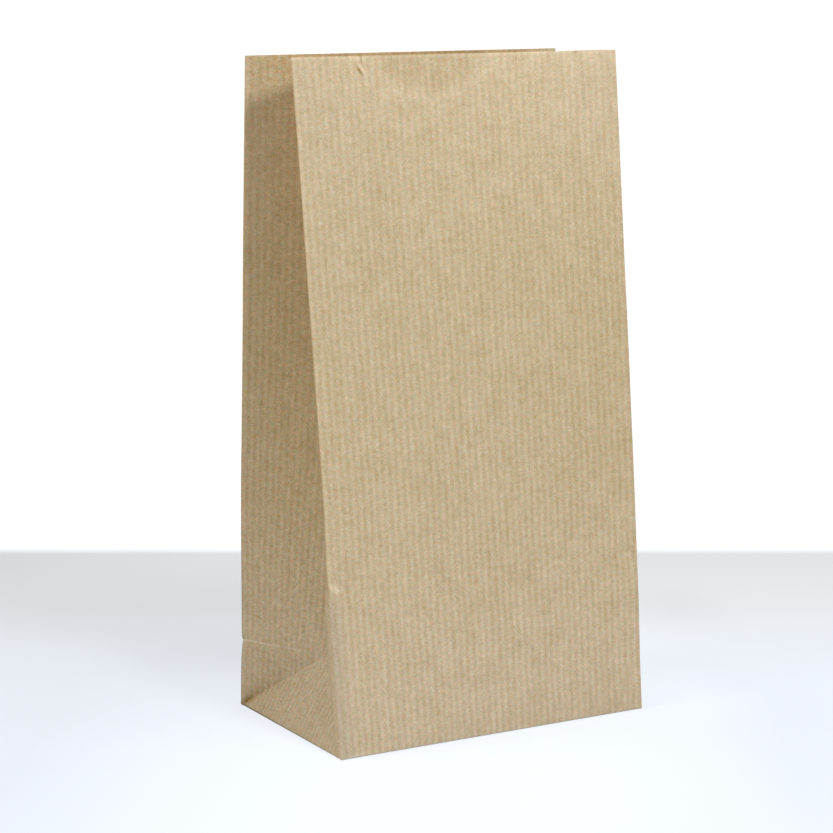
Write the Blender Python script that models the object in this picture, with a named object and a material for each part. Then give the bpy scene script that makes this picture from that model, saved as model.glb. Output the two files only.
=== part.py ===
# Open block-bottom bag of ribbed kraft paper with side gussets, standing on its folded bottom.
# One sheet: the front panel faces -Y, the glued seam runs up the back panel at +Y.
import math

import bmesh
import bpy
import numpy as np

# Driving dimensions, in metres
WIDTH = 0.127  # across the front panel, fold to fold
DEPTH = 0.083  # front to back at the bottom
HEIGHT = 0.244  # floor to rim
PAPER = 0.00025  # one layer of paper, a little over its real thickness so that it stays a clear solid
LAYERS = 3  # thickness of the bottom, in layers
MOUTH_FRONT = (0.0130, 0.0230)  # how far the rim's front corners stand before the middle: left, right
MOUTH_BACK = (0.0249, 0.0197)  # how far its back corners stand behind the middle: left, right
GUSSET_SLACK = 0.0005  # paper in half a gusset beyond half of the depth that it spans at the bottom
TRIANGLE_RISE = 0.0266  # height of the tip of each gusset's bottom triangle
FRONT_MARK = 0.0599  # height of the mark that the turned-up bottom pressed into the front panel
MARK_FALL = 0.00135  # how far the mark falls from the panel's middle to its right fold
FOLD_RADIUS = 0.0007  # outer radius of the upright folds
SOFT_FOLD_RADIUS = 0.0028  # the same below the front mark on the front left fold, where it is worn soft
CREASE_RADIUS = 0.0006  # radius of the gussets' centre creases
CREASE_FLAT = 0.0003  # half of the flat along such a crease
BOTTOM_RADIUS = 0.0008  # radius of the fold between wall and bottom
SEAM_LEFT = -0.008  # hidden end of the glued overlap on the back panel
SEAM_RIGHT = 0.008  # its visible cut edge
SEAM_RAMP = 0.0012  # width over which the outer layer climbs onto the inner one
FLAP_OVERLAP = 0.009  # how far the outer bottom flap reaches past the bottom's middle line
RIM_DIP = 0.0012  # how far the rim sinks at the gussets' centre creases
MARK_DEPTH = 0.00025  # how far the front mark is pressed in
MARK_WIDTH = 0.0012  # half its width
PINCH_DEPTH = 0.0006  # depth of the dent at each end of it
PINCH_HEIGHT = 0.0030  # half the height of such a dent

# Colour of the paper, from the photograph
KRAFT = (0.604, 0.479, 0.303, 1.0)
KRAFT_ROUGHNESS = 0.85

# Small bends of the standing paper: share of the height, then metres
FRONT_BOW = (
    (0.00, 0.0), (0.08, 0.0001), (0.17, 0.0008), (0.24, 0.0010), (0.36, 0.0010),
    (0.55, 0.0009), (0.68, 0.0005), (0.85, 0.0003), (1.00, 0.0),
)
BACK_BOW = (
    (0.00, 0.0), (0.055, -0.0002), (0.105, -0.0009), (0.16, -0.0007), (0.24, -0.0001),
    (0.30, 0.0004), (0.36, 0.0008), (0.52, 0.0006), (0.72, 0.0007), (0.88, 0.0004), (1.00, 0.0),
)
FRONT_LEFT_SHIFT = (
    (0.00, 0.0002), (0.03, 0.0006), (0.145, 0.0006), (0.20, -0.0004), (0.28, -0.0004),
    (0.35, 0.0002), (0.52, 0.0003), (0.85, 0.0005), (1.00, 0.0005),
)
BACK_LEFT_SHIFT = (
    (0.00, 0.0), (0.085, 0.0001), (0.105, 0.0004), (0.12, 0.0001), (0.20, 0.0002), (0.27, 0.0), (1.00, 0.0),
)

# Columns of the mesh
FRONT_STEPS = 14
WEDGE_STEPS = 3
STRIP_STEPS = 2
FOLD_STEPS = 4
CREASE_STEPS = 2

for leftover in list(bpy.data.objects):
    bpy.data.objects.remove(leftover)


def follow(table, share):
    return float(np.interp(share, [row[0] for row in table], [row[1] for row in table]))


# Outline of the bag at one height

def corners_at(height):
    """Outer fold corners at this height: front left, front right, back right, back left."""
    share = height / HEIGHT
    front = DEPTH / 2
    bow_front = follow(FRONT_BOW, share)
    bow_back = follow(BACK_BOW, share)
    left_front = front + (MOUTH_FRONT[0] - front) * share + bow_front
    right_front = front + (MOUTH_FRONT[1] - front) * share + bow_front
    left_back = front + (MOUTH_BACK[0] - front) * share + bow_back
    right_back = front + (MOUTH_BACK[1] - front) * share + bow_back
    half = WIDTH / 2
    return (
        np.array([-half + follow(FRONT_LEFT_SHIFT, share), -left_front]),
        np.array([half, -right_front]),
        np.array([half, right_back]),
        np.array([-half + follow(BACK_LEFT_SHIFT, share), left_back]),
    )


def crease_depth(front, back):
    """How far a gusset's centre crease is pushed in from the line between its outer folds."""
    spread = np.linalg.norm(front - back) / 2
    paper = DEPTH / 2 + GUSSET_SLACK
    return math.sqrt(max(paper**2 - spread**2, CREASE_FLAT**2))


def gusset_points(front, back, tip_front, tip_back, height, side):
    """The two inner corners of a gusset's outline, from its front fold to its back fold.

    They are the ends of the bottom triangle, and run together into the centre crease above its tip."""
    inward = np.array([-side, 0.0])
    if height >= TRIANGLE_RISE:
        centre = (front + back) / 2 + inward * crease_depth(front, back)
        spread = CREASE_FLAT
    else:
        share = height / TRIANGLE_RISE
        centre = (front + back) / 2 + inward * crease_depth(tip_front, tip_back) * share
        spread = max(CREASE_FLAT, DEPTH / 2 * (1 - share))
    return centre - np.array([0.0, spread]), centre + np.array([0.0, spread])


def rounded_corner(before, corner, after, radius, steps):
    """Arc points and outward normals at one corner of an outline that runs anticlockwise."""
    into = (corner - before) / np.linalg.norm(corner - before)
    out = (after - corner) / np.linalg.norm(after - corner)
    turn = math.atan2(into[0] * out[1] - into[1] * out[0], float(into @ out))
    reach = radius * math.tan(abs(turn) / 2)
    limit = 0.45 * min(np.linalg.norm(corner - before), np.linalg.norm(after - corner))
    if reach > limit:
        radius *= limit / reach
        reach = limit
    way = math.copysign(1.0, turn)
    left_of_into = np.array([-into[1], into[0]])
    centre = corner - into * reach + left_of_into * radius * way
    points = []
    normals = []
    for step in range(steps + 1):
        angle = turn * step / steps
        spin = np.array([[math.cos(angle), -math.sin(angle)], [math.sin(angle), math.cos(angle)]])
        outward = spin @ (-left_of_into)
        points.append(centre + outward * radius * way)
        normals.append(outward)
    return points, normals


def full_width_corner(other, corner, gusset, radius):
    """The corner moved out along its panel, so that the rounded fold still reaches the panel's full width."""
    outward = (corner - other) / np.linalg.norm(corner - other)
    limit = 0.45 * np.linalg.norm(gusset - corner)
    moved = corner
    for _ in range(3):
        away = (gusset - moved) / np.linalg.norm(gusset - moved)
        slope = math.tan(math.acos(max(-1.0, min(1.0, float(outward @ away)))) / 2)
        moved = corner + outward * max(0.0, min(radius, limit / slope) * (slope - 1))
    return moved


def seam_lift(x):
    """Extra thickness of the back panel at x, where the sheet's two ends overlap."""
    if x < SEAM_LEFT - SEAM_RAMP or x > SEAM_RIGHT:
        return 0.0
    return PAPER * min(1.0, (x - SEAM_LEFT + SEAM_RAMP) / SEAM_RAMP)


def panel_shares():
    """Where the columns of the front panel stand, closer together beside its two folds."""
    even = np.linspace(0, 1, FRONT_STEPS + 1)[1:-1]
    return even - 0.045 * np.sin(2 * math.pi * even)


def back_shares():
    """The same for the back panel, right to left, with columns at the seam's ramp and at its cut edge."""
    seam = [SEAM_RIGHT, SEAM_RIGHT, SEAM_LEFT, SEAM_LEFT - SEAM_RAMP]
    places = [0.5 - x / WIDTH for x in seam]
    sides = [0.03, 0.09, 0.18, 0.29, 0.71, 0.82, 0.91, 0.97]
    return sorted(places + sides)


def outline(height):
    """Outer and inner outline at this height, with the column at which each fold is centred."""
    flat_height = max(height, BOTTOM_RADIUS)
    front_left, front_right, back_right, back_left = corners_at(flat_height)
    tips = corners_at(TRIANGLE_RISE)
    right_low, right_high = gusset_points(front_right, back_right, tips[1], tips[2], flat_height, 1)
    left_low, left_high = gusset_points(front_left, back_left, tips[0], tips[3], flat_height, -1)
    soft = min(1.0, max(0.0, (height - 0.90 * FRONT_MARK) / (0.15 * FRONT_MARK)))
    fold = SOFT_FOLD_RADIUS + (FOLD_RADIUS - SOFT_FOLD_RADIUS) * soft
    front_left, front_right, back_right, back_left = (
        full_width_corner(front_right, front_left, left_low, fold),
        full_width_corner(front_left, front_right, right_low, FOLD_RADIUS),
        full_width_corner(back_left, back_right, right_high, FOLD_RADIUS),
        full_width_corner(back_right, back_left, left_high, FOLD_RADIUS),
    )
    corners = [
        (front_left, fold, FOLD_STEPS), (front_right, FOLD_RADIUS, FOLD_STEPS),
        (right_low, CREASE_RADIUS, CREASE_STEPS), (right_high, CREASE_RADIUS, CREASE_STEPS),
        (back_right, FOLD_RADIUS, FOLD_STEPS), (back_left, FOLD_RADIUS, FOLD_STEPS),
        (left_high, CREASE_RADIUS, CREASE_STEPS), (left_low, CREASE_RADIUS, CREASE_STEPS),
    ]
    sides = [
        panel_shares(), np.linspace(0, 1, WEDGE_STEPS + 1)[1:-1], np.linspace(0, 1, STRIP_STEPS + 1)[1:-1],
        np.linspace(0, 1, WEDGE_STEPS + 1)[1:-1], back_shares(), np.linspace(0, 1, WEDGE_STEPS + 1)[1:-1],
        np.linspace(0, 1, STRIP_STEPS + 1)[1:-1], np.linspace(0, 1, WEDGE_STEPS + 1)[1:-1],
    ]
    arcs = []
    for i, (corner, radius, steps) in enumerate(corners):
        arcs.append(rounded_corner(corners[i - 1][0], corner, corners[(i + 1) % 8][0], radius, steps))
    inset = 0.0
    if height < BOTTOM_RADIUS:
        inset = BOTTOM_RADIUS - math.sqrt(BOTTOM_RADIUS**2 - (BOTTOM_RADIUS - height) ** 2)
    outer = []
    inner = []
    marks = []
    for i, (points, normals) in enumerate(arcs):
        marks.append(len(outer) + len(points) // 2)
        for point, normal in zip(points, normals):
            outer.append(point - normal * inset)
            inner.append(point - normal * PAPER)
        start = points[-1]
        end = arcs[(i + 1) % 8][0][0]
        along = (end - start) / np.linalg.norm(end - start)
        normal = np.array([along[1], -along[0]])
        for number, share in enumerate(sides[i]):
            point = start + (end - start) * share
            lift = 0.0
            if i == 4:
                # The first of the two columns at the cut edge stays on the lower layer.
                at_edge = abs(point[0] - SEAM_RIGHT) < 0.0006 and share == min(
                    sides[4], key=lambda other: abs(other - (0.5 - SEAM_RIGHT / WIDTH))
                )
                first = at_edge and (number == 0 or sides[i][number - 1] != share)
                lift = 0.0 if first else seam_lift(min(point[0], SEAM_RIGHT) if at_edge else point[0])
            outer.append(point - normal * (inset - lift))
            inner.append(point - normal * PAPER)
    return outer, inner, marks


# Rows of the mesh

def row_heights():
    """Heights of the rows, in step with the fold at the bottom, the crease and the front mark."""
    crease = TRIANGLE_RISE
    wanted = [
        0.0, 0.25 * BOTTOM_RADIUS, BOTTOM_RADIUS, 0.22 * crease, 0.5 * crease, 0.78 * crease,
        0.94 * crease, crease, 1.06 * crease, 1.3 * crease, 1.65 * crease,
        0.93 * FRONT_MARK, 0.98 * FRONT_MARK, FRONT_MARK, 1.02 * FRONT_MARK, 1.09 * FRONT_MARK,
    ]
    wanted += [HEIGHT * share for share in (0.32, 0.37, 0.44, 0.51, 0.58, 0.65, 0.72, 0.79, 0.86, 0.93, 0.97, 1.0)]
    rows = []
    for height in sorted(wanted):
        if not rows or height - rows[-1] > 0.0001:
            rows.append(height)
    return rows


def front_mark_depth(point, height):
    """How far the front panel is pressed in at a point, by the mark's line and by the pinch at each of its ends."""
    across = point[0] / (WIDTH / 2)
    line = MARK_DEPTH * math.exp(-((height - FRONT_MARK) / MARK_WIDTH) ** 2)
    pinch = PINCH_DEPTH * math.exp(-((height - FRONT_MARK) / PINCH_HEIGHT) ** 2)
    left = pinch * math.exp(-((across + 0.90) / 0.07) ** 2)
    right = pinch * math.exp(-((across - 0.92) / 0.05) ** 2)
    return line + left + right


def mark_fall(point, height):
    """How far the rows near the front mark move down at a point, so that they follow its slope."""
    return MARK_FALL * point[0] / (WIDTH / 2) * math.exp(-((height - FRONT_MARK) / (0.25 * FRONT_MARK)) ** 2)


def rows_of_points():
    """Outer rows from the floor up, inner rows from the bottom's upper face up, and the marked columns."""
    outer_rows = []
    inner_rows = []
    floor = LAYERS * PAPER
    for height in row_heights():
        outer, inner, marks = outline(height)
        # The front panel's columns start at the middle of its left fold and end at the middle of its right one.
        first, last = marks[0], marks[1]
        sink = np.zeros(len(outer))
        for column in range(first + 3, last - 2):
            sink[column] = front_mark_depth(outer[column], height)
        lift = np.array([1 - RIM_DIP / HEIGHT * rim_share(point) for point in outer])
        levels = [height * share - mark_fall(point, height) for point, share in zip(outer, lift)]
        outer_rows.append([(p[0], p[1] + s, z) for p, s, z in zip(outer, sink, levels)])
        if height > floor:
            inner_rows.append([(p[0], p[1] + s, z) for p, s, z in zip(inner, sink, levels)])
    _, low_inner, _ = outline(floor)
    inner_rows.insert(0, [(p[0], p[1], floor) for p in low_inner])
    return outer_rows, inner_rows, marks


def rim_share(point):
    """1 at a gusset's centre crease, 0 on the front and back panels."""
    half = WIDTH / 2
    deep = half - abs(point[0])
    beside = 1 - min(1.0, abs(point[1]) / (DEPTH / 4))
    return max(0.0, min(1.0, deep / (0.25 * WIDTH))) * max(0.0, beside)


# One closed mesh

def add_rows(mesh, rows):
    return [[mesh.verts.new(point) for point in row] for row in rows]


def skin(mesh, low, high, outward):
    """Faces between two rows that run round the bag."""
    count = len(low)
    for i in range(count):
        j = (i + 1) % count
        face = (low[i], low[j], high[j], high[i])
        mesh.faces.new(face if outward else face[::-1])


def stretch(ring, start, end):
    """The ring's vertices from one marked column to another, going round."""
    if end > start:
        return ring[start:end + 1]
    return ring[start:] + ring[:end + 1]


def folded_bottom(mesh, ring, marks):
    """Underside: two long flaps with slanting ends over two end triangles, each a paper's thickness apart."""
    front_left, front_right, back_right, back_left = (marks[i] for i in (0, 1, 4, 5))
    reach = WIDTH / 2 - DEPTH / 2

    def stack(x, y, heights):
        return [mesh.verts.new((x, y, z)) for z in heights]

    drop = PAPER * (1 - FLAP_OVERLAP / (DEPTH / 2))
    left = stack(-reach, 0.0, (0.0, PAPER, 2 * PAPER))
    right = stack(reach, 0.0, (0.0, PAPER, 2 * PAPER))
    left_end = stack(-reach + FLAP_OVERLAP, -FLAP_OVERLAP, (0.0, drop))
    right_end = stack(reach - FLAP_OVERLAP, -FLAP_OVERLAP, (0.0, drop))
    corner = {name: ring[at] for name, at in (("fl", front_left), ("fr", front_right), ("br", back_right), ("bl", back_left))}
    faces = [
        # outer flap, folded in from the back
        [left[0], left_end[0], right_end[0], right[0]] + stretch(ring, back_right, back_left),
        # inner flap, folded in from the front
        [right[1], right_end[1], left_end[1], left[1]] + stretch(ring, front_left, front_right),
        # end triangles
        [left[2]] + stretch(ring, back_left, front_left),
        [right[2]] + stretch(ring, front_right, back_right),
        # cut edges of the outer flap
        [left_end[0], left_end[1], right_end[1], right_end[0]],
        [left[0], left[1], left_end[1], left_end[0]],
        [right_end[0], right_end[1], right[1], right[0]],
        # slanting folds over the end triangles
        [corner["bl"], left[1], left[0]],
        [corner["bl"], left[2], left[1]],
        [corner["br"], right[0], right[1]],
        [corner["br"], right[1], right[2]],
        [corner["fl"], left[1], left[2]],
        [corner["fr"], right[2], right[1]],
    ]
    for face in faces:
        mesh.faces.new(face[::-1])


def kraft_paper():
    paper = bpy.data.materials.new("kraft_paper")
    paper.use_nodes = True
    shader = paper.node_tree.nodes["Principled BSDF"]
    shader.inputs["Base Color"].default_value = KRAFT
    shader.inputs["Roughness"].default_value = KRAFT_ROUGHNESS
    shader.inputs["Metallic"].default_value = 0.0
    paper.diffuse_color = KRAFT
    return paper


def build_bag():
    outer_rows, inner_rows, marks = rows_of_points()
    mesh = bmesh.new()
    outer = add_rows(mesh, outer_rows)
    inner = add_rows(mesh, inner_rows)
    for low, high in zip(outer, outer[1:]):
        skin(mesh, low, high, True)
    for low, high in zip(inner, inner[1:]):
        skin(mesh, low, high, False)
    skin(mesh, outer[-1], inner[-1], True)
    mesh.faces.new(inner[0])
    folded_bottom(mesh, outer[0], marks)
    bmesh.ops.triangulate(mesh, faces=mesh.faces[:])
    data = bpy.data.meshes.new("paper_bag")
    mesh.to_mesh(data)
    mesh.free()
    data.shade_smooth()
    data.set_sharp_from_angle(angle=math.radians(25))
    data.materials.append(kraft_paper())
    bag = bpy.data.objects.new("paper_bag", data)
    bpy.context.collection.objects.link(bag)


build_bag()
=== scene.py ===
import math

import bpy
import numpy as np
from mathutils import Matrix, Vector


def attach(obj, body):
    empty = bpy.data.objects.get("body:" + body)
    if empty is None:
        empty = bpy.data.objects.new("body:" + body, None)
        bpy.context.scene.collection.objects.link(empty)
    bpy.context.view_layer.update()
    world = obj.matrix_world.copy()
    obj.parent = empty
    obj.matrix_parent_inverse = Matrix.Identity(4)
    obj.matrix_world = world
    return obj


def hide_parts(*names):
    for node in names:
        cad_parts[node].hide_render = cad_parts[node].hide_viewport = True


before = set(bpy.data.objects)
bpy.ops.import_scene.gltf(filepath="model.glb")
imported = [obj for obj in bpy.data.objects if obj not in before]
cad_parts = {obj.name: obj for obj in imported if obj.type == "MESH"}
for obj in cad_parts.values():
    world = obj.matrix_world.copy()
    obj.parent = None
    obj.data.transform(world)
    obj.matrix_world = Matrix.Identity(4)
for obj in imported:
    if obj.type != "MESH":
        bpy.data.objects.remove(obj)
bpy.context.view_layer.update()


# The paper's stance
# One sheet of brown ribbed kraft, folded into a tube with a gusset in each side, turned up and
# glued at the bottom, then opened by hand. Its panels lean in towards the mouth, and each
# gusset folds inwards above a flat triangle that stands on the bottom's end.

width, depth, height = 0.127, 0.083, 0.244
paper = 0.00025  # one layer, a little over its real thickness
half_gusset = depth / 2 + 0.0005  # paper from an outer fold to the gusset's centre crease
triangle_rise = 0.0266  # height of the bottom triangle's tip
mark_height = 0.0599  # height of the line pressed across the front panel
foot_radius = 0.0008  # rounding where the walls turn under
fold_share = 0.45  # the most of a panel that one rounded fold may take


def along(rows, *pairs):
    """Values at the given heights, from pairs of height share and value, joined by straight lines."""
    shares = [pair[0] for pair in pairs]
    values = [pair[1] for pair in pairs]
    return np.interp(rows / height, shares, values)


def bump_at(position, centre, reach):
    """A soft hill: e to the power of minus the square of the distance from the centre over the reach."""
    return np.exp(-(((position - centre) / reach) ** 2))


def fold_corners(rows):
    """Plan positions of the four outer folds at every row: front left and right, back right and left.

    A fold's distance from the middle plane goes in a straight line from half the depth at the floor to
    its lean at the rim, plus its panel's bow. Its side place is half the width, plus a shift on the left.
    """
    share = rows / height
    lean = [(0.0130, 0.0230), (0.0249, 0.0197)]
    front_bow = along(rows, (0, 0), (0.08, 0.0001), (0.17, 0.0008), (0.24, 0.001), (0.36, 0.001),
                      (0.55, 0.0009), (0.68, 0.0005), (0.85, 0.0003), (1, 0))
    back_bow = along(rows, (0, 0), (0.055, -0.0002), (0.105, -0.0009), (0.16, -0.0007), (0.24, -0.0001),
                     (0.30, 0.0004), (0.36, 0.0008), (0.52, 0.0006), (0.72, 0.0007), (0.88, 0.0004), (1, 0))
    left_front = depth / 2 + (lean[0][0] - depth / 2) * share + front_bow
    right_front = depth / 2 + (lean[0][1] - depth / 2) * share + front_bow
    left_back = depth / 2 + (lean[1][0] - depth / 2) * share + back_bow
    right_back = depth / 2 + (lean[1][1] - depth / 2) * share + back_bow
    front_shift = along(rows, (0, 0.0002), (0.03, 0.0003), (0.145, 0.0), (0.20, -0.0004), (0.28, -0.0004),
                        (0.35, 0.0002), (0.52, 0.0003), (0.85, 0.0005), (1, 0.0005))
    back_shift = along(rows, (0, -0.0003), (0.085, -0.0004), (0.105, -0.0001), (0.12, -0.0005),
                       (0.20, -0.0005), (0.27, -0.0005), (0.40, -0.0003), (0.6, -0.0001), (1, 0))
    edge = np.full_like(rows, width / 2)
    return (
        np.stack([front_shift - edge, -left_front], axis=1),
        np.stack([edge, -right_front], axis=1),
        np.stack([edge, right_back], axis=1),
        np.stack([back_shift - edge, left_back], axis=1),
    )


def gusset_folds(rows, front, back, side):
    """Plan positions of a bottom triangle's two slanting folds, which meet and go up as the centre crease.

    Up to the triangle's tip, their way inwards grows and the distance between them shrinks, both in a
    straight line. Above it they lie together, as far inwards as two half gussets of paper reach.
    """
    closed = 0.0003  # half the distance left between the folds once they have met

    def inward(front_fold, back_fold):
        """The way inwards: the root of a half gusset squared less half the folds' distance squared."""
        spread = np.linalg.norm(front_fold - back_fold, axis=1) / 2
        return np.sqrt(np.maximum(half_gusset**2 - spread**2, 1e-7))

    tip = fold_corners(np.array([triangle_rise]))
    tip_inward = inward(tip[1], tip[2]) if side > 0 else inward(tip[0], tip[3])
    share = np.minimum(rows / triangle_rise, 1)
    reach = np.where(rows < triangle_rise, tip_inward * share, inward(front, back))
    spread = np.maximum(closed, depth / 2 * (1 - share))
    centre = (front + back) / 2 + np.stack([-side * reach, np.zeros_like(rows)], axis=1)
    offset = np.stack([np.zeros_like(rows), spread], axis=1)
    return centre - offset, centre + offset


def full_width(other, corner, gusset, radius):
    """The corner moved out along its panel until the rounded fold still reaches the panel's full width.

    The way out is the radius times the tangent of half the fold's turn less 1, and never below 0. The
    turn depends on the corner's place, so this is worked out three times over.
    """
    outward = (corner - other) / np.linalg.norm(corner - other, axis=1, keepdims=True)
    limit = fold_share * np.linalg.norm(gusset - corner, axis=1)
    moved = corner
    for _ in range(3):
        away = (gusset - moved) / np.linalg.norm(gusset - moved, axis=1, keepdims=True)
        slope = np.tan(np.arccos(np.clip((outward * away).sum(axis=1), -1, 1)) / 2)
        moved = corner + outward * np.maximum(0, np.minimum(radius, limit / slope) * (slope - 1))[:, None]
    return moved


def rounded_fold(before, corner, after, radius, steps):
    """Points and outward normals of the arc that rounds one fold, for all rows at once.

    The arc starts short of the corner by the radius times the tangent of half the turn. Its centre lies
    one radius beside that start, and it turns evenly from one panel's direction to the next one's.
    """
    into = corner - before
    out = after - corner
    into_length = np.linalg.norm(into, axis=1, keepdims=True)
    out_length = np.linalg.norm(out, axis=1, keepdims=True)
    into, out = into / into_length, out / out_length
    turn = np.arctan2(into[:, 0] * out[:, 1] - into[:, 1] * out[:, 0], (into * out).sum(axis=1))
    slope = np.tan(np.abs(turn) / 2)
    limit = fold_share * np.minimum(into_length, out_length)[:, 0]
    radius = np.minimum(radius, limit / np.maximum(slope, 1e-6))
    way = np.sign(turn)
    left = np.stack([-into[:, 1], into[:, 0]], axis=1)
    centre = corner - into * (radius * slope)[:, None] + left * (radius * way)[:, None]
    angle = turn[:, None] * np.linspace(0, 1, steps + 1)[None, :]
    cos, sin = np.cos(angle), np.sin(angle)
    normal = np.stack([-left[:, None, 0] * cos + left[:, None, 1] * sin,
                       -left[:, None, 0] * sin - left[:, None, 1] * cos], axis=2)
    return centre[:, None, :] + normal * (radius * way)[:, None, None], normal


def eased(count, pull):
    """Column places between two folds: even shares less the pull times the sine of a whole turn."""
    even = np.linspace(0, 1, count + 1)[1:-1]
    return even - pull * np.sin(2 * math.pi * even)


def row_heights():
    """Row heights: even steps from each stop to the next, closest at the creases, the mark and the rim."""
    bottom = foot_radius * np.array([0, 0.07, 0.25, 0.55, 1])
    stops = [foot_radius, 0.0225, 0.0245, 0.0287, 0.0305, 0.0560, 0.0660, 0.2300, height]
    counts = [22, 6, 14, 4, 16, 26, 56, 10]
    runs = [np.linspace(a, b, n + 1)[1:] for a, b, n in zip(stops, stops[1:], counts)]
    return np.concatenate([bottom] + runs)


rows = row_heights()
plan_rows = np.maximum(rows, foot_radius)
front_left, front_right, back_right, back_left = fold_corners(plan_rows)
right_low, right_high = gusset_folds(plan_rows, front_right, back_right, 1)
left_low, left_high = gusset_folds(plan_rows, front_left, back_left, -1)
soft_fold = along(rows, (0, 0.0028), (0.221, 0.0028), (0.258, 0.0007), (0.9, 0.0007), (1, 0.0011))
fold = np.full_like(rows, 0.0007)
crease = np.full_like(rows, 0.0006)
front_left, front_right = (
    full_width(front_right, front_left, left_low, soft_fold),
    full_width(front_left, front_right, right_low, fold),
)
back_left, back_right = (
    full_width(back_right, back_left, left_high, fold),
    full_width(back_left, back_right, right_high, fold),
)
corners = [front_left, front_right, right_low, right_high, back_right, back_left, left_high, left_low]
radii = [soft_fold, fold, crease, crease, fold, fold, crease, crease]
arc_steps = [8, 8, 4, 4, 8, 8, 4, 4]
seam_edge, seam_start = 0.008, -0.0092  # the overlap's cut edge, and where its other side begins to rise
seam_places = np.array([seam_edge, seam_edge - 0.00002, 0.004, 0.0, -0.004, -0.008, seam_start])
seam_shares = 0.5 - seam_places / width
beside_seam = eased(18, 0.03)
back_shares = np.sort(np.concatenate([beside_seam * 0.42, 0.585 + beside_seam * 0.415, seam_shares]))
side_shares = [eased(60, 0.06), eased(18, 0.05), eased(14, 0), eased(18, 0.05),
               back_shares, eased(18, 0.05), eased(14, 0), eased(18, 0.05)]

arcs = [
    rounded_fold(corners[i - 1], corners[i], corners[(i + 1) % 8], radii[i], arc_steps[i])
    for i in range(8)
]
points, normals, sections, marks = [], [], [], []
for i in range(8):
    arc, arc_normal = arcs[i]
    start, end = arc[:, -1], arcs[(i + 1) % 8][0][:, 0]
    run = end - start
    length = np.linalg.norm(run, axis=1, keepdims=True)
    side_normal = np.stack([run[:, 1], -run[:, 0]], axis=1) / length
    share = side_shares[i][None, :, None]
    marks.append(sum(p.shape[1] for p in points) + arc_steps[i] // 2)
    points += [arc, start[:, None, :] + run[:, None, :] * share]
    normals += [arc_normal, np.repeat(side_normal[:, None, :], len(side_shares[i]), axis=1)]
    sections += [np.full(arc.shape[1], -1 - i), np.full(len(side_shares[i]), i)]
first = marks[0]
points = np.roll(np.concatenate(points, axis=1), -first, axis=1)
normals = np.roll(np.concatenate(normals, axis=1), -first, axis=1)
section = np.roll(np.concatenate(sections), -first)
marks = [mark - first for mark in marks]
column_count = points.shape[1]

# Length along the paper, across its ribs, from the middle of the front left fold. Each panel is as
# wide as the sheet says, and each gusset is measured from the outer fold that lies nearest.
steps = np.linalg.norm(np.roll(points, -1, axis=1) - points, axis=2)
around = np.concatenate([np.zeros((len(rows), 1)), np.cumsum(steps, axis=1)], axis=1)
folds = [0, marks[1], marks[4], marks[5], column_count]
fold_places = [0, width, width + 2 * half_gusset, 2 * width + 2 * half_gusset, 2 * width + 4 * half_gusset]
for i in range(4):
    part = slice(folds[i], folds[i + 1] + 1)
    from_start = around[:, part] - around[:, folds[i]:folds[i] + 1]
    total = from_start[:, -1:]
    nominal = fold_places[i + 1] - fold_places[i]
    if i % 2 == 0:
        measured = from_start / total * nominal
    else:
        measured = np.where(from_start < total / 2, from_start, nominal - total + from_start)
    if i == 0:
        across_paper = np.zeros_like(around)
    across_paper[:, part] = fold_places[i] + measured


# The bag's small bends
# What standing up, folding flat and a hand have left in the paper: the mark and pinches where
# the turned-up bottom pressed the front panel, the back crease, a thumb's hollow at the rim
# and a slight wave in every panel. They move the paper along its own normal.

x = points[:, :, 0]
y = points[:, :, 1]
z = np.repeat(rows[:, None], column_count, axis=1)
on_front = (section == 0)[None, :]
on_back = (section == 4)[None, :]
across = x / (width / 2)
mark = -0.00022 * bump_at(z, mark_height, 0.0011) + 0.00012 * bump_at(z, mark_height + 0.0026, 0.0012)
pinch_left = -0.0011 * bump_at(across, -0.93, 0.07) * bump_at(z, mark_height, 0.0026)
pinch_right = -0.0010 * bump_at(across, 0.96, 0.05) * bump_at(z, mark_height, 0.0030)
hollow = -0.0006 * bump_at(across, -0.18, 0.26) * bump_at(z, 0.240, 0.011)
broad_wave = 0.00016 * np.sin(52 * x + 21 * z + 0.6) * np.sin(29 * z + 0.4)
wave = broad_wave + 0.00010 * np.sin(95 * x - 33 * z + 2.0)
calm = np.clip((z - 0.004) / 0.03, 0, 1) * np.clip((1 - np.abs(across)) / 0.15, 0, 1)
lift = np.where(on_front, mark + pinch_left + pinch_right + hollow + wave * calm, 0.0)
seam = paper * np.clip((x - seam_start) / 0.0012, 0, 1) * (x < seam_edge - 0.00001)
lift = np.where(on_back, wave * calm, lift)
crease_line = 0.0002 * bump_at(z, 0.0256, 0.0008)
back_half = np.isin(section, [3, 4, 5, -5, -6])[None, :]
lift = np.where(back_half, lift - crease_line, lift)

foot_arc = np.sqrt(np.maximum(foot_radius**2 - (foot_radius - rows) ** 2, 0))
inset = np.where(rows < foot_radius, foot_radius - foot_arc, 0.0)[:, None]
outer = points + normals * (lift - inset + np.where(on_back, seam, 0.0))[:, :, None]
inner = points + normals * (lift - paper)[:, :, None]
dip = np.clip((width / 2 - np.abs(x)) / (0.25 * width), 0, 1) * np.clip(1 - np.abs(y) / (depth / 4), 0, 1)
mouth_dip = 0.0012  # how much lower the rim lies at the gussets' centre creases
mark_slope = 0.00135  # how much lower the pressed line lies at the right fold than in the middle
level = z * (1 - mouth_dip / height * np.where(on_front | on_back, 0, dip))
level = level - mark_slope * across * bump_at(z, mark_height, 0.015)
outer = np.concatenate([outer, level[:, :, None]], axis=2)
inner = np.concatenate([inner, level[:, :, None]], axis=2)
layers = 3  # thickness of the folded bottom, in papers
floor_level = layers * paper
inner_first = int(np.searchsorted(rows, floor_level + 1e-6))
inner_bottom = inner[inner_first].copy()
inner_bottom[:, 2] = floor_level
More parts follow.
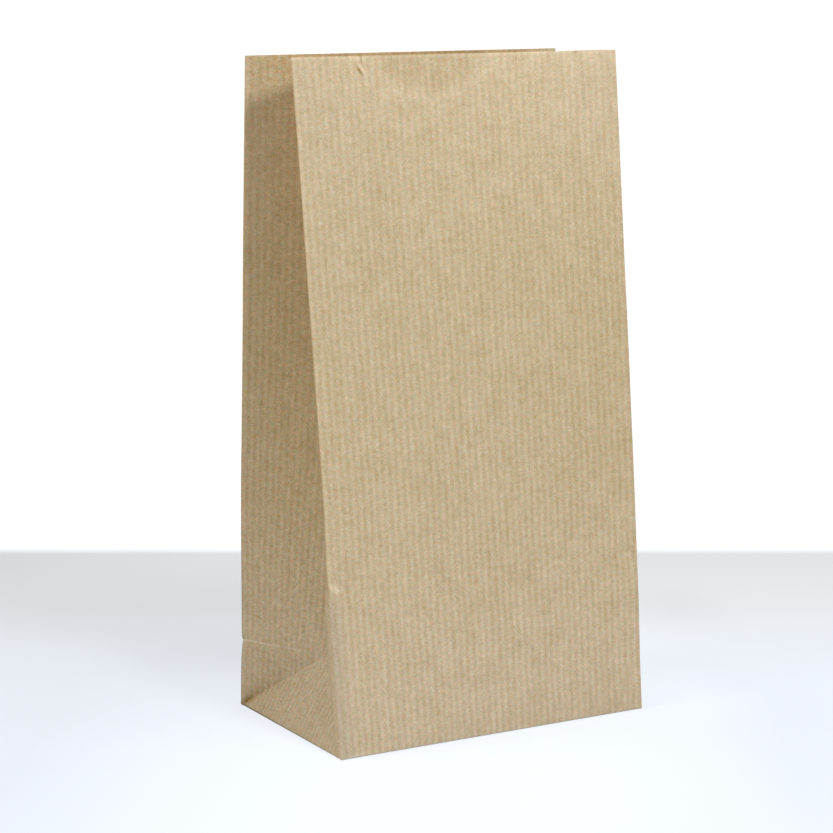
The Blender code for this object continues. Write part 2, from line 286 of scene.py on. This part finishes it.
inner = np.concatenate([inner_bottom[None], inner[inner_first:]], axis=0)
inner_rows = np.concatenate([[inner_first], np.arange(inner_first, len(rows))])


# The folded bottom
# The tube's end is opened out and folded flat: an end triangle at each side, then a flap from
# the front and a wider one from the back glued over it, both with slanting ends. Seen from
# below, each layer lies one paper's thickness over the next.

def underside(ring_start):
    """Extra vertices of the bottom, and its faces in two lists, by the way that the paper's ribs run.

    The end triangles' tips lie half the depth in from the bag's ends. The outer flap goes the overlap
    past the middle line. The inner flap's height there is one paper times 1 less the overlap's share
    of half the depth.
    """
    overlap = 0.009
    reach = width / 2 - depth / 2
    drop = paper * (1 - overlap / (depth / 2))
    extra = np.array([
        (-reach, 0, 0), (-reach, 0, paper), (-reach, 0, 2 * paper),
        (reach, 0, 0), (reach, 0, paper), (reach, 0, 2 * paper),
        (-reach + overlap, -overlap, 0), (-reach + overlap, -overlap, drop),
        (reach - overlap, -overlap, 0), (reach - overlap, -overlap, drop),
    ])
    front_start, front_end, back_start, back_end = marks[0], marks[1], marks[4], marks[5]
    left_tip = [ring_start, ring_start + 1, ring_start + 2]
    right_tip = [ring_start + 3, ring_start + 4, ring_start + 5]
    left_flap = [ring_start + 6, ring_start + 7]
    right_flap = [ring_start + 8, ring_start + 9]

    def stretch(start, end):
        """Columns from start to end, over the ring's last and first ones where end comes first."""
        if end > start:
            return list(range(start, end + 1))
        return list(range(start, column_count)) + list(range(end + 1))

    lengthwise = [
        [left_tip[0], left_flap[0], right_flap[0], right_tip[0]] + stretch(back_start, back_end),
        [right_tip[1], right_flap[1], left_flap[1], left_tip[1]] + stretch(front_start, front_end),
        [left_flap[0], left_flap[1], right_flap[1], right_flap[0]],
        [left_tip[0], left_tip[1], left_flap[1], left_flap[0]],
        [right_flap[0], right_flap[1], right_tip[1], right_tip[0]],
        [back_end, left_tip[1], left_tip[0]],
        [back_start, right_tip[0], right_tip[1]],
        [front_start, left_tip[1], left_tip[2]],
        [front_end, right_tip[2], right_tip[1]],
    ]
    sideways = [
        [left_tip[2]] + stretch(back_end, front_start),
        [right_tip[2]] + stretch(front_end, back_start),
        [back_end, left_tip[2], left_tip[1]],
        [back_start, right_tip[1], right_tip[2]],
    ]
    return extra, [face[::-1] for face in lengthwise], [face[::-1] for face in sideways]


row_count, inner_count = len(outer), len(inner)
inner_start = row_count * column_count
bottom_start = inner_start + inner_count * column_count
extra, lengthwise, sideways = underside(bottom_start)
vertices = np.concatenate([outer.reshape(-1, 3), inner.reshape(-1, 3), extra])


def grid_faces(start, count, turned):
    """Quads of a grid that closes on itself: each joins two neighbours of one row to the two above them."""
    row = np.arange(count - 1)[:, None] * column_count + start
    column = np.arange(column_count)[None, :]
    after = (column + 1) % column_count
    here, beside = row + column, row + after
    quads = np.stack([here, beside, beside + column_count, here + column_count], axis=2).reshape(-1, 4)
    return quads[:, ::-1] if turned else quads


outer_quads = grid_faces(0, row_count, False)
inner_quads = grid_faces(inner_start, inner_count, True)
column = np.arange(column_count)
after = (column + 1) % column_count
top_outer = (row_count - 1) * column_count
top_inner = inner_start + (inner_count - 1) * column_count
rim_quads = np.stack([top_outer + column, top_outer + after, top_inner + after, top_inner + column], axis=1)
inside_floor = [list(range(inner_start, inner_start + column_count))]
wall_quads = outer_quads.tolist() + inner_quads.tolist() + rim_quads.tolist()
faces = wall_quads + inside_floor + lengthwise + sideways

bag_mesh = bpy.data.meshes.new("kraft_bag")
bag_mesh.from_pydata(vertices.tolist(), [], faces)

# The paper's own directions, in metres: across the ribs, then along them.
end_places = np.concatenate([across_paper[:, -1], across_paper[inner_rows, -1]])
wall_heights = np.concatenate([rows, rows[inner_rows]])
none_below = np.zeros(len(extra))
outer_places = across_paper[:, :-1].reshape(-1)
inner_places = across_paper[inner_rows, :-1].reshape(-1)
vertex_u = np.concatenate([outer_places, inner_places, none_below])
vertex_v = np.concatenate([np.repeat(wall_heights, column_count), none_below])
vertex_end = np.concatenate([np.repeat(end_places, column_count), none_below])
vertex_column = np.concatenate([np.tile(column, row_count + inner_count), np.full(len(extra), -1)])
loop_vertex = np.empty(len(bag_mesh.loops), np.int32)
bag_mesh.loops.foreach_get("vertex_index", loop_vertex)
face_size = np.empty(len(bag_mesh.polygons), np.int32)
bag_mesh.polygons.foreach_get("loop_total", face_size)
loop_face = np.repeat(np.arange(len(face_size)), face_size)
uv = np.stack([vertex_u[loop_vertex], vertex_v[loop_vertex]], axis=1)
wall_faces = len(wall_quads)
last_face = np.zeros(len(face_size), bool)
np.logical_or.at(last_face, loop_face, vertex_column[loop_vertex] == column_count - 1)
closing = (loop_face < wall_faces) & last_face[loop_face] & (vertex_column[loop_vertex] == 0)
uv[closing, 0] = vertex_end[loop_vertex][closing]
place = vertices[loop_vertex]
flap_loop = (loop_face >= wall_faces) & (loop_face < wall_faces + 1 + len(lengthwise))
uv[flap_loop] = np.stack([place[flap_loop, 0] + width / 2, place[flap_loop, 1] + 0.5], axis=1)
end_loop = loop_face >= wall_faces + 1 + len(lengthwise)
uv[end_loop] = np.stack([place[end_loop, 1], np.abs(place[end_loop, 0]) + 0.5], axis=1)
uv_layer = bag_mesh.uv_layers.new(name="paper")
uv_layer.data.foreach_set("uv", uv.astype(np.float32).reshape(-1))

# Whether a point lies on a rounded fold, where the paper is worn pale and carries a painted highlight, and
# whether it is on the inner side.
folded = (section < 0).astype(float)
wear_and_highlight = np.concatenate([np.tile(folded, row_count + inner_count), none_below])
wear_and_highlight_layer = bag_mesh.attributes.new("wear_and_highlight", "FLOAT", "POINT")
wear_and_highlight_layer.data.foreach_set("value", wear_and_highlight.astype(np.float32))
outside, inside = np.zeros(row_count * column_count), np.ones(inner_count * column_count)
inner_side = np.concatenate([outside, inside, none_below])
side_layer = bag_mesh.attributes.new("inner_side", "FLOAT", "POINT")
side_layer.data.foreach_set("value", inner_side.astype(np.float32))
bag_mesh.shade_smooth()
bag_mesh.set_sharp_from_angle(angle=math.radians(32))

bag = bpy.data.objects.new("kraft_bag", bag_mesh)
bpy.context.collection.objects.link(bag)


# Ribbed kraft paper
# Unbleached wood fibre, matt, with fine darker lines pressed in side by side as the sheet was
# made. Its colour is uneven from clouds about two centimetres wide down to single fibres, its
# folds are worn pale and carry a painted highlight, and some light passes through it and comes out warmer.
# Much of its tone is also painted light and shade: highlights and shade at creases, folds and the rim,
# a lighter, cooler top and foot, and warm shade in the left gusset.

def kraft_material():
    """The paper's material, from its own directions.

    The tone is 1 plus the ribs, the fibres, three scales of unevenness and every mark times its
    strength. A channel is its level times 1 plus its gain times the tone less 1, plus its share of
    the speckle, and then each wash multiplies it.
    """
    material = bpy.data.materials.new("ribbed_kraft")
    material.use_nodes = True
    tree = material.node_tree
    nodes, links = tree.nodes, tree.links
    shader = nodes["Principled BSDF"]
    shader.inputs["Roughness"].default_value = 0.82
    shader.inputs["Specular IOR Level"].default_value = 0.22

    def calculate(operation, *values):
        """The named operation on the values, each of which is a number or another node's result."""
        node = nodes.new("ShaderNodeMath")
        node.operation = operation
        for socket, value in zip(node.inputs, values):
            if isinstance(value, (int, float)):
                socket.default_value = value
            else:
                links.new(value, socket)
        return node.outputs[0]

    def noise(scale, stretch, detail=2.0, roughness=0.6):
        """Noise around 0: fractal noise less a half, at a place whose height is times the stretch."""
        mapping = nodes.new("ShaderNodeMapping")
        mapping.inputs["Scale"].default_value = (1.0, stretch, 1.0)
        links.new(paper_uv.outputs[0], mapping.inputs["Vector"])
        texture = nodes.new("ShaderNodeTexNoise")
        texture.inputs["Scale"].default_value = scale
        texture.inputs["Detail"].default_value = detail
        texture.inputs["Roughness"].default_value = roughness
        links.new(mapping.outputs[0], texture.inputs["Vector"])
        return calculate("SUBTRACT", texture.outputs["Fac"], 0.5)

    def hill(value, centre, reach):
        """A bell curve: e to the power of minus the squared distance from the centre over the reach."""
        offset = calculate("DIVIDE", calculate("SUBTRACT", value, centre), reach)
        return calculate("EXPONENT", calculate("MULTIPLY", calculate("MULTIPLY", offset, offset), -1.0))

    def spot(u_centre, v_centre, u_reach, v_reach, turn=0.0):
        """A soft oval: the product of two bell curves, along and over an axis turned by some degrees."""
        du = calculate("SUBTRACT", across_ribs, u_centre)
        dv = calculate("SUBTRACT", up_ribs, v_centre)
        cos, sin = math.cos(math.radians(turn)), math.sin(math.radians(turn))
        along_spot = calculate("MULTIPLY_ADD", du, cos, calculate("MULTIPLY", dv, sin))
        over_spot = calculate("MULTIPLY_ADD", dv, cos, calculate("MULTIPLY", du, -sin))
        return calculate("MULTIPLY", hill(along_spot, 0.0, u_reach), hill(over_spot, 0.0, v_reach))

    def washed(colour, amount, wash):
        """The colour times 1 less the amount, plus the colour times the wash times the amount."""
        mix = nodes.new("ShaderNodeMix")
        mix.data_type = "RGBA"
        mix.blend_type = "MULTIPLY"
        links.new(amount, mix.inputs["Factor"])
        links.new(colour, mix.inputs["A"])
        mix.inputs["B"].default_value = (*wash, 1)
        return mix.outputs["Result"]

    paper_uv = nodes.new("ShaderNodeUVMap")
    paper_uv.uv_map = "paper"
    split = nodes.new("ShaderNodeSeparateXYZ")
    links.new(paper_uv.outputs[0], split.inputs[0])
    across_ribs, up_ribs = split.outputs["X"], split.outputs["Y"]
    clouds = noise(55.0, 0.7, 3.0)
    patches = noise(190.0, 0.6, 2.0)
    dashes = noise(420.0, 0.28)
    mottle = noise(490.0, 1.0, 3.0)
    fibres = noise(2100.0, 0.7)

    back_fold = 2 * width + 2 * half_gusset
    sway = calculate("MULTIPLY_ADD", clouds, 0.0016, across_ribs)
    rib_count = 47.2  # across the front panel
    rib = calculate("SINE", calculate("MULTIPLY", sway, 2 * math.pi * rib_count / width))
    rib_strength = calculate("MULTIPLY_ADD", dashes, 0.14, 0.055)
    in_triangle = spot(back_fold + half_gusset, 0.0100, 0.0400, 0.0200)
    rib_strength = calculate("MULTIPLY_ADD", in_triangle, -0.01, rib_strength)
    rib_strength = calculate("MULTIPLY_ADD", hill(up_ribs, height, 0.0700), -0.012, rib_strength)
    in_gusset = hill(across_ribs, back_fold + half_gusset * 0.7, half_gusset * 0.75)
    texture = calculate("MULTIPLY_ADD", fibres, 0.66, calculate("MULTIPLY", mottle, 0.43))
    texture = calculate("MULTIPLY", texture, calculate("MULTIPLY_ADD", in_gusset, 0.35, 1.0))
    texture = calculate("MULTIPLY_ADD", rib, rib_strength, texture)
    tone = calculate("MULTIPLY_ADD", clouds, 0.12, calculate("ADD", texture, 1.0))
    tone = calculate("MULTIPLY_ADD", patches, 0.26, tone)
    # Painted light: the sheet a little lighter towards the mouth and towards its foot.
    tone = calculate("MULTIPLY_ADD", hill(up_ribs, height, 0.0550), 0.05, tone)
    tone = calculate("MULTIPLY_ADD", hill(up_ribs, 0.0, 0.0500), 0.04, tone)

    # Painted shade in the thumb's hollow at the rim: a darker half oval, with a painted highlight in a
    # paler line round it.
    reach_u = calculate("DIVIDE", calculate("SUBTRACT", across_ribs, 0.0518), 0.0205)
    reach_v = calculate("DIVIDE", calculate("SUBTRACT", up_ribs, height), 0.0125)
    reach_v_squared = calculate("MULTIPLY", reach_v, reach_v)
    from_patch = calculate("SQRT", calculate("MULTIPLY_ADD", reach_u, reach_u, reach_v_squared))
    past_patch = calculate("MAXIMUM", calculate("SUBTRACT", from_patch, 0.72), 0.0)
    faded = calculate("SMOOTH_MIN", 1.0, calculate("MULTIPLY", past_patch, 2.6), 0.2)
    thumb_hollow_shade = calculate("SUBTRACT", 1.0, faded)
    tone = calculate("MULTIPLY_ADD", thumb_hollow_shade, -0.085, tone)
    tone = calculate("MULTIPLY_ADD", hill(from_patch, 1.22, 0.16), 0.03, tone)

    # Soft marks, most of them painted highlights and shade, each with its place across and up the sheet,
    # its two reaches, any turn in degrees and the strength of its tone.
    marks_and_painted_light = [
        # Painted highlights and shade at the pressed line across the front panel and at the pinch at each
        # end, and a faint darker spot under the line's middle.
        (spot(0.0026, 0.0592, 0.0028, 0.0013, -25), 0.28),
        (spot(0.0080, 0.0606, 0.0060, 0.0005), 0.07),
        (spot(0.0002, 0.0585, 0.0005, 0.0016), -0.22),
        (spot(0.0310, 0.0600, 0.0050, 0.0005), 0.06),
        (spot(0.0640, 0.0600, 0.0600, 0.0005), 0.025),
        (spot(0.1240, 0.0600, 0.0035, 0.0007), 0.11),
        (spot(0.1165, 0.0596, 0.0012, 0.0010), -0.10),
        (spot(0.0610, 0.0570, 0.0130, 0.0110), -0.025),
        # A painted highlight along the rounded edge at the front panel's foot.
        (spot(0.0060, 0.0008, 0.0100, 0.0007), 0.12),
        (spot(0.0600, 0.0005, 0.0800, 0.0005), 0.06),
        # Painted shade in the nick under the rim with a painted highlight on its raised side, and painted
        # shade and highlights along the short crease above it.
        (spot(0.0251, 0.2389, 0.0017, 0.00042, -56), -0.58),
        (spot(0.0262, 0.2395, 0.0018, 0.0005, -60), 0.32),
        (spot(0.0261, 0.2426, 0.00034, 0.0018), -0.30),
        (spot(0.0243, 0.2431, 0.0016, 0.0007), 0.19),
        (spot(0.0266, 0.2430, 0.0006, 0.0012), 0.16),
        # The rim: painted shade in a small notch, painted highlights along its edge, a darker line at the
        # cut, and painted light on the front just under the rim at the right.
        (spot(0.1100, 0.2437, 0.0009, 0.0007), -0.32),
        (spot(0.0400, 0.2435, 0.0900, 0.0005), 0.10),
        (spot(0.0300, 0.2441, 0.0400, 0.0003), -0.16),
        (spot(0.0900, 0.2437, 0.0300, 0.0006), 0.06),
        (spot(0.1020, 0.2440, 0.0300, 0.0090), 0.05),
        # Painted shade along the back left fold and in the corner at its foot.
        (spot(back_fold, 0.0300, 0.0005, 0.0700), -0.45),
        (spot(back_fold + 0.0034, 0.0024, 0.0034, 0.0011, 32), -0.30),
        (spot(back_fold + 0.0120, 0.0080, 0.0160, 0.0120), -0.07),
        # Painted light and shade on the left gusset, which stand for no crease or mark.
        (spot(back_fold + 0.0120, 0.2440, 0.0300, 0.0190), -0.10),
        (spot(back_fold + 0.0280, 0.2120, 0.0120, 0.0160), 0.04),
        (spot(back_fold + 0.0150, 0.2275, 0.0090, 0.0085), 0.07),
        (spot(back_fold + 0.0110, 0.1300, 0.0130, 0.0650), -0.028),
        # Painted shade at the crease's end on the back left fold, and in the darkest part of the corner at
        # its foot.
        (spot(back_fold, 0.0270, 0.0014, 0.0006), -0.25),
        (spot(back_fold + 0.0060, 0.0046, 0.0070, 0.0020, 32), -0.16),
        # Uneven tone of the front panel's right side, which stands for no mark either.
        (spot(0.1180, 0.1300, 0.0300, 0.0500), -0.035),
        (spot(0.1100, 0.2250, 0.0300, 0.0200), 0.03),
    ]
    for place_here, strength in marks_and_painted_light:
        tone = calculate("MULTIPLY_ADD", place_here, strength, tone)
    # A painted highlight along the low crease at the back left fold, fading within a few centimetres of it.
    beside_back = hill(across_ribs, back_fold, 0.028)
    gusset_crease_highlight = calculate("MULTIPLY", hill(up_ribs, 0.0262, 0.0005), beside_back)
    tone = calculate("MULTIPLY_ADD", gusset_crease_highlight, 0.26, tone)
    inner_side = nodes.new("ShaderNodeAttribute")
    inner_side.attribute_name = "inner_side"
    # The inner side is darker all over, with painted shade under the back rim where the inside shows.
    inner_dark_and_shade = calculate("MULTIPLY_ADD", spot(0.2490, 0.2430, 0.0180, 0.0040), -0.14, -0.10)
    tone = calculate("MULTIPLY_ADD", inner_side.outputs["Fac"], inner_dark_and_shade, tone)
    # The rounded folds are worn pale and carry a painted highlight, stronger higher up and slightly darker
    # at the foot.
    wear_and_highlight = nodes.new("ShaderNodeAttribute")
    wear_and_highlight.attribute_name = "wear_and_highlight"
    wear_and_highlight_strength = calculate("MULTIPLY_ADD", up_ribs, 0.25, -0.02)
    tone = calculate("MULTIPLY_ADD", wear_and_highlight.outputs["Fac"], wear_and_highlight_strength, tone)

    # Darker fibres are browner: the tone moves blue the most and red the least. Each channel has its
    # level, its gain, and its shares of the red and the blue speckle.
    brown = nodes.new("ShaderNodeCombineColor")
    tint_strength = calculate("MULTIPLY_ADD", in_gusset, 0.6, 1.0)
    redness = calculate("MULTIPLY", noise(520.0, 1.7, 1.0), tint_strength)
    blueness = calculate("MULTIPLY", noise(560.0, 1.6, 1.0), tint_strength)
    levels = [
        ("Red", 0.612, 0.64, 0.50, 0.0),
        ("Green", 0.527, 1.11, -0.22, 0.0),
        ("Blue", 0.348, 1.80, -0.20, 0.62),
    ]
    for channel, level, gain, red_share, blue_share in levels:
        value = calculate("MULTIPLY_ADD", tone, level * gain, level * (1 - gain))
        value = calculate("MULTIPLY_ADD", redness, level * red_share, value)
        value = calculate("MULTIPLY_ADD", blueness, level * blue_share, value)
        links.new(value, brown.inputs[channel])
    # Painted light and shade in washes: the foot paler and bluer from the table's light, the top a little
    # bluer, and the left gusset browner as warm shade, less so near its foot.
    foot = hill(up_ribs, 0.0, 0.070)
    rim = hill(up_ribs, height, 0.040)
    gusset_warm_shade = calculate("MULTIPLY", in_gusset, calculate("SUBTRACT", 1.0, hill(up_ribs, 0.0, 0.095)))
    colour = washed(brown.outputs["Color"], foot, (1.03, 1.03, 1.08))
    colour = washed(colour, rim, (1.01, 1.01, 1.04))
    colour = washed(colour, gusset_warm_shade, (1.0, 0.95, 0.85))
    # Painted shade, a little bluer, on the soft fold at the front panel's left edge below the pressed line.
    under_mark = calculate("MAXIMUM", calculate("SUBTRACT", 0.060, up_ribs), 0.0)
    below_mark = calculate("SUBTRACT", 1.0, hill(under_mark, 0.0, 0.006))
    soft_fold_shade = calculate("MULTIPLY", hill(across_ribs, 0.0010, 0.0038), below_mark)
    colour = washed(colour, soft_fold_shade, (0.91, 0.94, 1.00))
    # Painted warm light on the left gusset under its lit top band.
    colour = washed(colour, spot(back_fold + 0.0280, 0.2080, 0.0120, 0.0300), (1.12, 1.04, 0.96))
    # Painted bluish shade along the back left fold near its foot.
    colour = washed(colour, spot(back_fold, 0.0100, 0.0009, 0.0600), (0.88, 0.97, 1.15))
    links.new(colour, shader.inputs["Base Color"])

    relief = calculate("MULTIPLY_ADD", mottle, 0.5, calculate("MULTIPLY", rib, 0.35))
    relief = calculate("MULTIPLY_ADD", fibres, 0.5, relief)
    bump = nodes.new("ShaderNodeBump")
    bump.inputs["Strength"].default_value = 0.35
    bump.inputs["Distance"].default_value = 0.00012
    links.new(relief, bump.inputs["Height"])
    links.new(bump.outputs[0], shader.inputs["Normal"])

    through = nodes.new("ShaderNodeBsdfTranslucent")
    warm = nodes.new("ShaderNodeMix")
    warm.data_type = "RGBA"
    warm.clamp_factor = False
    warm.inputs["A"].default_value = (0.0, 0.0, 0.0, 1)
    warm.inputs["B"].default_value = (0.93, 0.66, 0.22, 1)
    links.new(tone, warm.inputs["Factor"])
    links.new(warm.outputs["Result"], through.inputs["Color"])
    both = nodes.new("ShaderNodeMixShader")
    both.inputs[0].default_value = 0.38
    links.new(shader.outputs[0], both.inputs[1])
    links.new(through.outputs[0], both.inputs[2])
    links.new(both.outputs[0], nodes["Material Output"].inputs["Surface"])
    return material


bag_mesh.materials.append(kraft_material())
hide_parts("paper_bag")
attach(bag, "root")


# Camera
# The photograph's view: a long lens a little above the mouth, turned towards the left gusset.

frame_px = 833.0  # width and height of the picture
focal_px = 2520.8  # focal length, in pixels of the picture
sensor_mm = 36.0
turn, rise, roll = (math.radians(angle) for angle in (28.588, 9.558, -0.714))
back_axis = Vector((-math.sin(turn) * math.cos(rise), -math.cos(turn) * math.cos(rise), math.sin(rise)))
level_axis = Vector((math.cos(turn), -math.sin(turn), 0.0))
upright_axis = back_axis.cross(level_axis).normalized()
right_axis = level_axis * math.cos(roll) + upright_axis * math.sin(roll)
up_axis = upright_axis * math.cos(roll) - level_axis * math.sin(roll)
eye_right, eye_up, eye_back = -0.07146, 0.86077, 7.48138  # the eye's place, in widths of the bag
eye = (right_axis * eye_right + up_axis * eye_up + back_axis * eye_back) * width

lens = bpy.data.cameras.new("camera")
lens.sensor_fit = "HORIZONTAL"
lens.sensor_width = sensor_mm
lens.lens = sensor_mm * focal_px / frame_px
lens.clip_start = 0.05
camera = bpy.data.objects.new("camera", lens)
turned = Matrix((right_axis, up_axis, back_axis)).transposed().to_4x4()
camera.matrix_world = Matrix.Translation(eye) @ turned
bpy.context.collection.objects.link(camera)
bpy.context.scene.camera = camera


# Floor and backdrop
# A pale table whose far edge stands level in the picture, before a white wall. Its tone is painted light
# and
# shade: greyer towards that edge, lighter in front of the bag, and with the bag's painted shadow beside it.

def on_floor(px, py):
    """Where a pixel's line of sight meets the floor.

    This is the eye's place plus the line of sight times the eye's height over the line's fall.
    """
    half = frame_px / 2
    sight = right_axis * ((px - half) / focal_px) + up_axis * ((half - py) / focal_px) - back_axis
    return eye + sight * (-eye.z / sight.z)


far_edge_px = 548.5  # height of the table's far edge in the picture
left_px, right_px = -2200, 3030  # two places far apart on that edge
table_level = -0.0001
far_left, far_right = on_floor(left_px, far_edge_px), on_floor(right_px, far_edge_px)
edge_way = (far_right - far_left).normalized()
near_way = Vector((edge_way.y, -edge_way.x, 0.0))
middle = on_floor(frame_px / 2, far_edge_px)

side_places = np.linspace(-1.2, 1.2, 81)
near_places = np.concatenate([
    np.linspace(0, 0.05, 14), np.linspace(0.05, 0.5, 46)[1:], np.linspace(0.5, 2.2, 14)[1:],
])
side_grid, near_grid = np.meshgrid(side_places, near_places)
floor_x = middle.x + edge_way.x * side_grid + near_way.x * near_grid
floor_y = middle.y + edge_way.y * side_grid + near_way.y * near_grid
floor_points = np.stack([floor_x, floor_y, np.full_like(floor_x, table_level)], axis=2).reshape(-1, 3)
across_count = len(side_places)
row_start = np.arange(len(near_places) - 1)[:, None] * across_count
cell = row_start + np.arange(across_count - 1)[None, :]
nearer_cell = cell + across_count
floor_quads = np.stack([cell, nearer_cell, nearer_cell + 1, cell + 1], axis=2).reshape(-1, 4)
floor_mesh = bpy.data.meshes.new("table")
floor_mesh.from_pydata(floor_points.tolist(), [], floor_quads.tolist())


def smooth_step(value, low, high):
    """From 0 at the low value to 1 at the high one: three times the share squared less twice it cubed."""
    share = np.clip((value - low) / (high - low), 0, 1)
    return share * share * (3 - 2 * share)


# Painted light and shade in the table's tone: grey at its far edge, rising to near white in front, with
# duller sides.
stops = [0.0, 0.02, 0.12, 0.23, 0.33, 0.45, 0.6]
tone_left = np.interp(near_grid, stops, [0.785, 0.77, 0.775, 0.905, 0.99, 0.985, 0.985])
tone_right = np.interp(near_grid, stops, [0.805, 0.805, 0.875, 1.025, 1.02, 1.0, 1.0])
gain = smooth_step(near_grid, 0.03, 0.33)
tone = tone_left + (tone_right - tone_left) * smooth_step(side_grid, -0.10, 0.12)
tone = tone * (1 - 0.08 * gain * smooth_step(np.abs(side_grid - 0.02), 0.03, 0.14))
rim_glow = 1 - smooth_step(near_grid, 0.001, 0.012)
tone = tone + (1.05 - tone) * rim_glow


def pool(px, py, reach_x, reach_y):
    """A soft pool on the table: e to the power of minus both squared distances, each over its reach.

    Its centre is where the pixel's line of sight meets the table, and its reaches are in pixels too.
    """
    centre = on_floor(px, py)
    reach_side = (on_floor(px + reach_x, py) - centre).length
    reach_near = (on_floor(px, py + reach_y) - centre).dot(near_way)
    beside = (floor_x - centre.x) * edge_way.x + (floor_y - centre.y) * edge_way.y
    nearer = (floor_x - centre.x) * near_way.x + (floor_y - centre.y) * near_way.y
    return np.exp(-((beside / reach_side) ** 2) - (nearer / reach_near) ** 2)


# The light on the table is uneven, and painted into its tone; the pools beside the bag are its painted
# shadow. Each pool has its pixel and its reaches in the picture, and the share of light that it adds or
# takes away.
dull_sides = [((-20, 566, 70, 22), -0.060), ((-10, 760, 55, 80), -0.055), ((835, 765, 65, 65), -0.045)]
pale_pools = [((235, 558, 60, 18), 0.055), ((70, 650, 50, 18), 0.030), ((662, 698, 40, 22), 0.10)]
bag_shadow_pools = [((225, 652, 45, 20), -0.080), ((655, 606, 30, 18), -0.10)]
right_pool = [((740, 665, 60, 22), 0.03)]
for group in (dull_sides, pale_pools, bag_shadow_pools, right_pool):
    tone = tone * (1 + sum(share_of_light * pool(*pixels) for pixels, share_of_light in group))
tint = np.array([0.93, 0.98, 1.06])
tint_far = np.array([0.96, 0.99, 1.02])
bluer = smooth_step(near_grid, 0.03, 0.24)[:, :, None]
colour = tone[:, :, None] * (tint_far + (tint - tint_far) * bluer)
colour = np.concatenate([colour, np.ones_like(tone)[:, :, None]], axis=2).reshape(-1, 4)
attribute = floor_mesh.color_attributes.new("tone", "FLOAT_COLOR", "POINT")
attribute.data.foreach_set("color", colour.astype(np.float32).reshape(-1))

table_glow = 0.73  # share of its tone that the table gives out itself, where it is seen
table_answer = 0.26  # share that answers the lamps, which keeps the bag's shadow
table_material = bpy.data.materials.new("pale_table")
table_material.use_nodes = True
tree = table_material.node_tree
shader = tree.nodes["Principled BSDF"]
shader.inputs["Roughness"].default_value = 0.9
shader.inputs["Specular IOR Level"].default_value = 0.1
tone_node = tree.nodes.new("ShaderNodeVertexColor")
tone_node.layer_name = "tone"
dimmed = tree.nodes.new("ShaderNodeMix")
dimmed.data_type = "RGBA"
dimmed.blend_type = "MULTIPLY"
dimmed.inputs["Factor"].default_value = 1.0
dimmed.inputs["B"].default_value = (table_answer, table_answer, table_answer, 1)
tree.links.new(tone_node.outputs["Color"], dimmed.inputs["A"])
path = tree.nodes.new("ShaderNodeLightPath")
seen = tree.nodes.new("ShaderNodeMath")
seen.operation = "MAXIMUM"
tree.links.new(path.outputs["Is Camera Ray"], seen.inputs[0])
tree.links.new(path.outputs["Is Glossy Ray"], seen.inputs[1])
base = tree.nodes.new("ShaderNodeMix")
base.data_type = "RGBA"
base.inputs["A"].default_value = (0.90, 0.94, 1.0, 1)
tree.links.new(seen.outputs[0], base.inputs["Factor"])
tree.links.new(dimmed.outputs["Result"], base.inputs["B"])
tree.links.new(base.outputs["Result"], shader.inputs["Base Color"])
glow = tree.nodes.new("ShaderNodeMath")
glow.operation = "MULTIPLY"
glow.inputs[1].default_value = table_glow
tree.links.new(seen.outputs[0], glow.inputs[0])
tree.links.new(tone_node.outputs["Color"], shader.inputs["Emission Color"])
tree.links.new(glow.outputs[0], shader.inputs["Emission Strength"])
floor_mesh.materials.append(table_material)
table = bpy.data.objects.new("table", floor_mesh)
bpy.context.collection.objects.link(table)

# The wall is seen as white, and lights the bag with a weaker, warmer light from all round.
world = bpy.data.worlds.new("white_wall")
world.use_nodes = True
bpy.context.scene.world = world
wall_nodes, wall_links = world.node_tree.nodes, world.node_tree.links
ambient = wall_nodes["Background"]
ambient.inputs["Color"].default_value = (1.04, 1.0, 0.88, 1)
ambient.inputs["Strength"].default_value = 0.46
white = wall_nodes.new("ShaderNodeBackground")
white.inputs["Color"].default_value = (1, 1, 1, 1)
white.inputs["Strength"].default_value = 1.05
wall_path = wall_nodes.new("ShaderNodeLightPath")
wall_seen = wall_nodes.new("ShaderNodeMath")
wall_seen.operation = "MAXIMUM"
wall_links.new(wall_path.outputs["Is Camera Ray"], wall_seen.inputs[0])
wall_links.new(wall_path.outputs["Is Glossy Ray"], wall_seen.inputs[1])
either = wall_nodes.new("ShaderNodeMixShader")
wall_links.new(wall_seen.outputs[0], either.inputs[0])
wall_links.new(ambient.outputs[0], either.inputs[1])
wall_links.new(white.outputs[0], either.inputs[2])
wall_links.new(either.outputs[0], wall_nodes["World Output"].inputs["Surface"])


# Light
# One soft lamp straight before the front panel, a little above the rim, so that it reaches over
# the rim onto the gusset, and a wide, weaker one high up on the left.

def soft_lamp(name, target, turn_right, elevation, distance, size, power, colour):
    """A round lamp facing its target, from the target plus the distance times the way of both angles."""
    lamp = bpy.data.lights.new(name, "AREA")
    lamp.shape = "DISK"
    lamp.size = size
    lamp.energy = power
    lamp.color = colour
    side, high = math.radians(turn_right), math.radians(elevation)
    away = Vector((math.sin(side) * math.cos(high), -math.cos(side) * math.cos(high), math.sin(high)))
    holder = bpy.data.objects.new(name, lamp)
    holder.location = Vector(target) + away * distance
    holder.rotation_euler = away.to_track_quat("Z", "Y").to_euler()
    bpy.context.collection.objects.link(holder)


soft_lamp("front_lamp", (0, -0.02, 0.24), 2, 25.5, 0.85, 0.17, 4.8, (0.96, 1.0, 1.07))
soft_lamp("left_lamp", (-0.06, 0.0, 0.05), -105, 66, 1.0, 0.5, 4.4, (1.0, 1.0, 1.0))

bpy.context.scene.view_settings.view_transform = "Standard"
